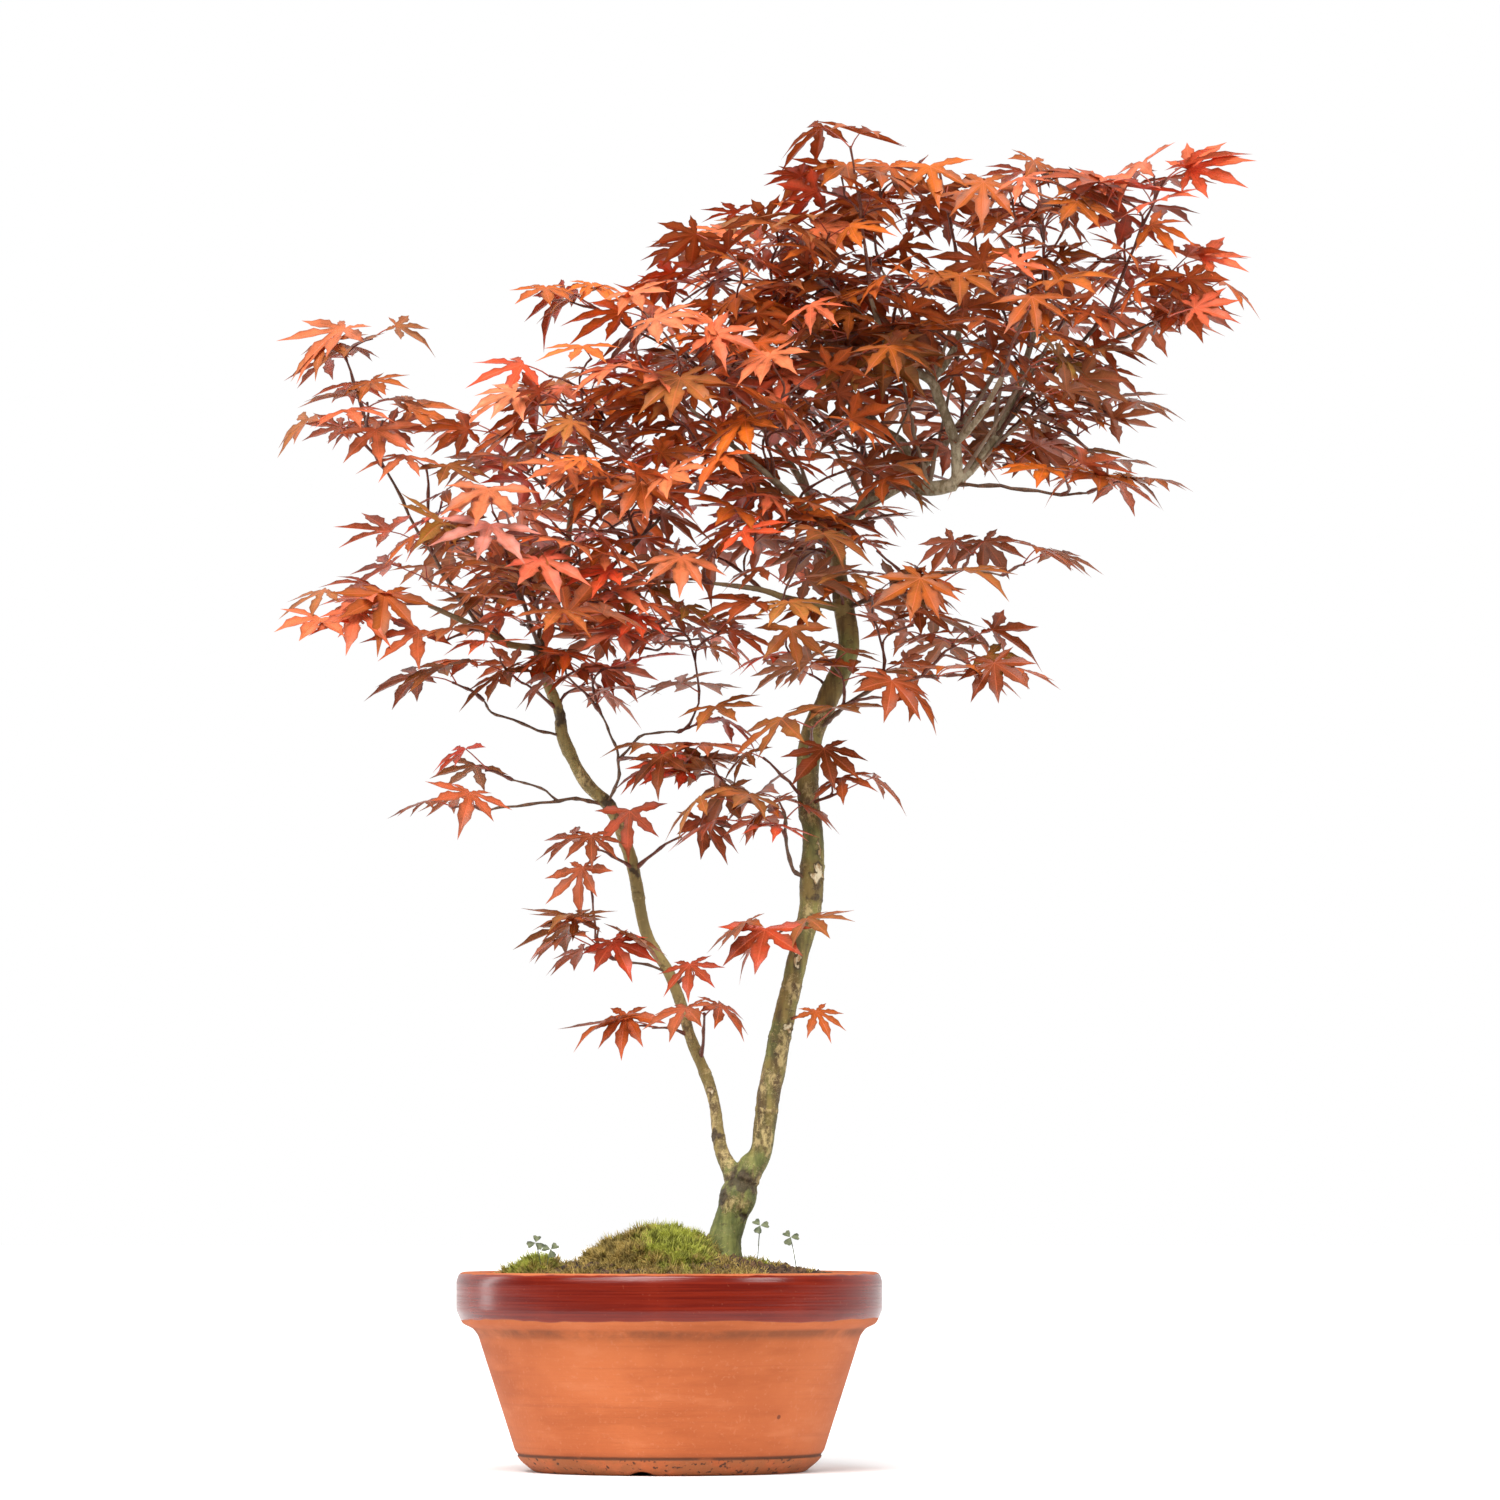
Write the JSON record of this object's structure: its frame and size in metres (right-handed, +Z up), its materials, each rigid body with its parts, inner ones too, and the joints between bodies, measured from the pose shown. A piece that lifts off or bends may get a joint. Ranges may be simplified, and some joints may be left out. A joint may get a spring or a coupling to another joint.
{
  "type": "potted maple bonsai tree",
  "caption": "Red Japanese maple bonsai with a twin trunk and lobed leaves, rooted in mossy soil in a round terracotta pot with a glazed rim.",
  "frame": {"origin": "middle of the whole plant's box, on the ground that the pot stands on; the pot's axis is 62 mm to -X and 22 mm to -Y of it", "axes": "+Z up, out of the pot; +X to the tree's right as its front is looked at; the front faces -Y"},
  "size_m": [0.5906, 0.3074, 0.8025],
  "materials": {
    "terracotta": "matte",
    "plastic_net": "matte",
    "potting_soil": "matte",
    "moss": "matte",
    "bark": "satin",
    "clover": "matte",
    "maple_leaf": "satin"
  },
  "bodies": {
    "root": {"pot": "terracotta", "drain_net": "plastic_net", "soil": "potting_soil", "moss_cushion": "moss", "moss_tuft": "moss", "seedling_left": "clover", "seedling_middle": "clover", "seedling_right": "clover", "trunk_and_limbs": "bark", "leafy_stem_01": "maple_leaf", "leafy_stem_02": "maple_leaf", "leafy_stem_03": "maple_leaf", "leafy_stem_04": "maple_leaf", "leafy_stem_05": "maple_leaf", "leafy_stem_06": "maple_leaf", "leafy_stem_07": "maple_leaf", "leafy_stem_08": "maple_leaf", "leafy_stem_09": "maple_leaf", "leafy_stem_10": "maple_leaf", "leafy_stem_11": "maple_leaf", "leafy_stem_12": "maple_leaf", "leafy_stem_13": "maple_leaf", "leafy_stem_14": "maple_leaf", "leafy_stem_15": "maple_leaf", "leafy_stem_16": "maple_leaf", "leafy_stem_17": "maple_leaf", "leafy_stem_18": "maple_leaf", "leafy_stem_19": "maple_leaf", "leafy_stem_20": "maple_leaf", "leafy_stem_21": "maple_leaf", "leafy_stem_22": "maple_leaf", "leafy_stem_23": "maple_leaf", "leafy_stem_24": "maple_leaf", "leafy_stem_25": "maple_leaf", "leafy_stem_26": "maple_leaf", "leafy_stem_27": "maple_leaf", "leafy_stem_28": "maple_leaf", "leafy_stem_29": "maple_leaf", "leafy_stem_30": "maple_leaf", "leafy_stem_31": "maple_leaf", "leafy_stem_32": "maple_leaf", "leafy_stem_33": "maple_leaf", "leafy_stem_34": "maple_leaf", "leafy_stem_35": "maple_leaf", "leafy_stem_36": "maple_leaf", "leafy_stem_37": "maple_leaf", "leafy_stem_38": "maple_leaf", "leafy_stem_39": "maple_leaf", "leafy_stem_40": "maple_leaf", "leafy_stem_41": "maple_leaf", "leafy_stem_42": "maple_leaf", "leafy_stem_43": "maple_leaf", "leafy_stem_44": "maple_leaf", "leafy_stem_45": "maple_leaf", "leafy_stem_46": "maple_leaf", "leafy_stem_47": "maple_leaf"}
  },
  "joints": []
}
